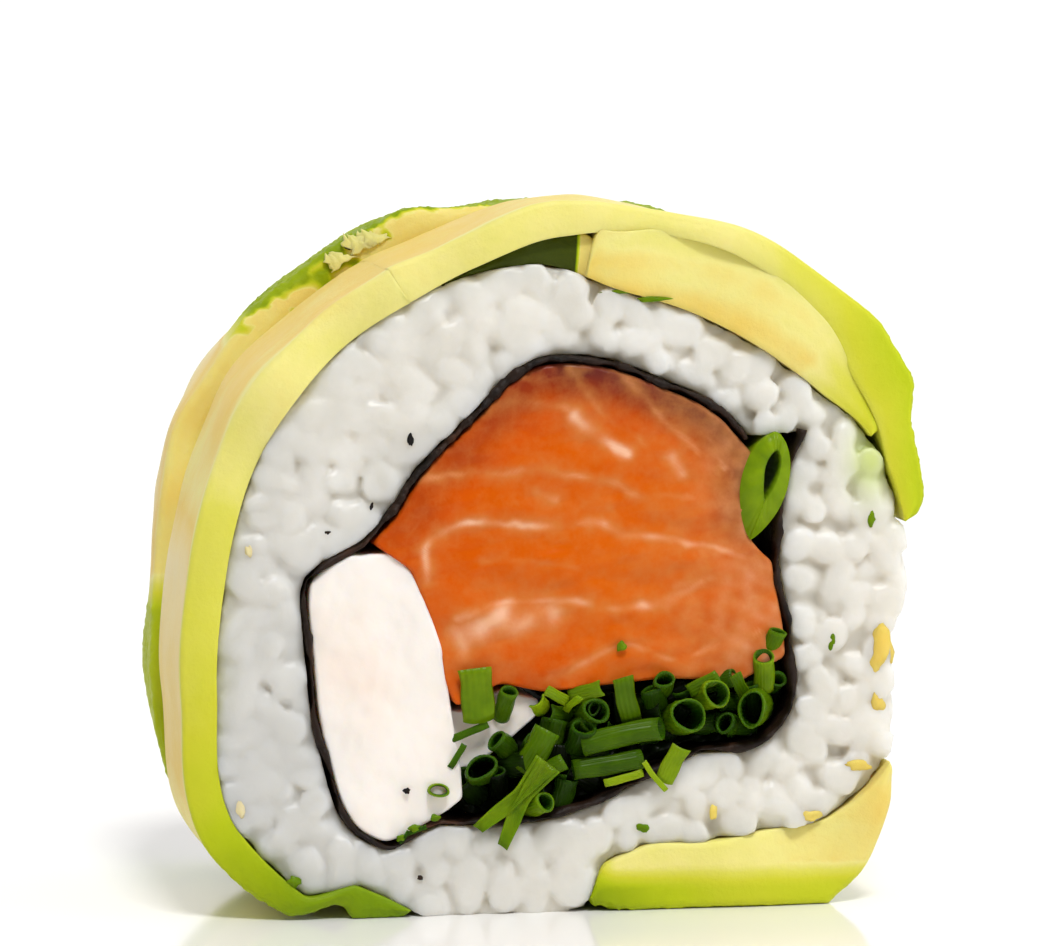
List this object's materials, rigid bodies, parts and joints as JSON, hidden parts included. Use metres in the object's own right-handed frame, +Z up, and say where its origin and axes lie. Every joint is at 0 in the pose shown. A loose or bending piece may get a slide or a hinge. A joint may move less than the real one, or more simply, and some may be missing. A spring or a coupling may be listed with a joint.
{
  "type": "salmon maki roll",
  "caption": "Cut piece of an inside-out sushi roll: rice round a nori loop of salmon, cream cheese and chives, wrapped in avocado slices.",
  "frame": {"origin": "centre of the bounding box's bottom, on the surface that the piece rests on", "axes": "+Y along the roll's axis, away from the cut face that shows, +X to that face's right, +Z up"},
  "size_m": [0.0469, 0.0264, 0.0439],
  "materials": {
    "rice": "moist cooked grains",
    "nori": "damp pressed seaweed",
    "salmon": "moist raw fish with pale fat lines",
    "cream_cheese": "smooth knife-cut cheese",
    "chives": "fresh cut leaves",
    "avocado": "oily cut flesh, yellow to green"
  },
  "bodies": {
    "root": {"rice": "rice", "nori": "nori", "salmon": "salmon", "cream_cheese": "cream_cheese", "chives": "chives", "chive_stalk": "chives", "avocado_left": "avocado", "avocado_top": "avocado", "avocado_under": "avocado", "avocado_base": "avocado", "avocado_rear_left": "avocado", "avocado_rear_right": "avocado"}
  },
  "joints": []
}
